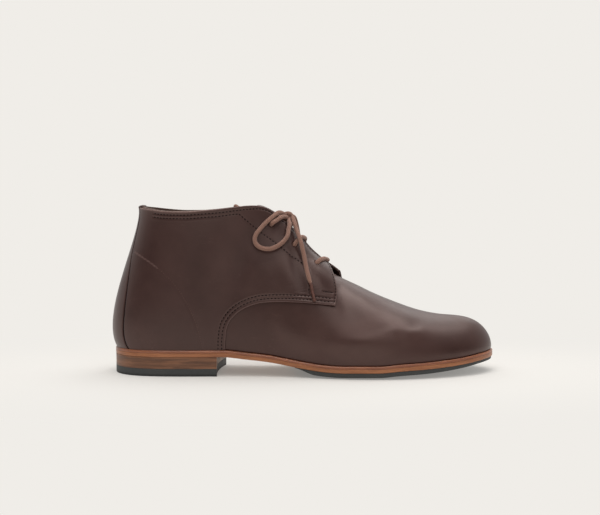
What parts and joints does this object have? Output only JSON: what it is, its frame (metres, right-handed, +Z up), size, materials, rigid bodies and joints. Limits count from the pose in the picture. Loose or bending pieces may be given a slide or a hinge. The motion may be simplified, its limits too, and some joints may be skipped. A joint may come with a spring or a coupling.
{
  "type": "derby shoe",
  "caption": "Ankle-high right derby shoe of plain brown leather, open-laced, with a leather sole, stacked heel and rubber under heel and forefoot, empty and tied.",
  "frame": {"origin": "bottom centre of the shoe's box, on the floor that it stands on", "axes": "+X from the heel to the toe, +Y to the inner (medial) side, +Z up"},
  "size_m": [0.3023, 0.1018, 0.1318],
  "materials": {
    "upper_leather": "smooth satin dark brown",
    "lining_leather": "matt brown",
    "sole_leather": "polished edge, reddish tan",
    "stacked_leather": "waxed lifts, brown",
    "rubber": "matt dark grey",
    "lace_cord": "braided round cord, rose tan"
  },
  "bodies": {
    "root": {"upper": "upper_leather", "quarter_lateral": "upper_leather", "quarter_medial": "upper_leather", "tongue": "upper_leather", "insole": "lining_leather", "midsole": "sole_leather", "outsole": "sole_leather", "heel_stack": "stacked_leather", "heel_top_piece": "rubber", "forefoot_rubber": "rubber", "lace_bar_middle": "lace_cord", "lace_bar_low": "lace_cord", "lace_strand_lateral": "lace_cord", "lace_strand_medial": "lace_cord", "lace_knot": "lace_cord", "lace_loop_lateral": "lace_cord", "lace_loop_medial": "lace_cord", "lace_end_lateral": "lace_cord", "lace_end_medial": "lace_cord"}
  },
  "joints": []
}
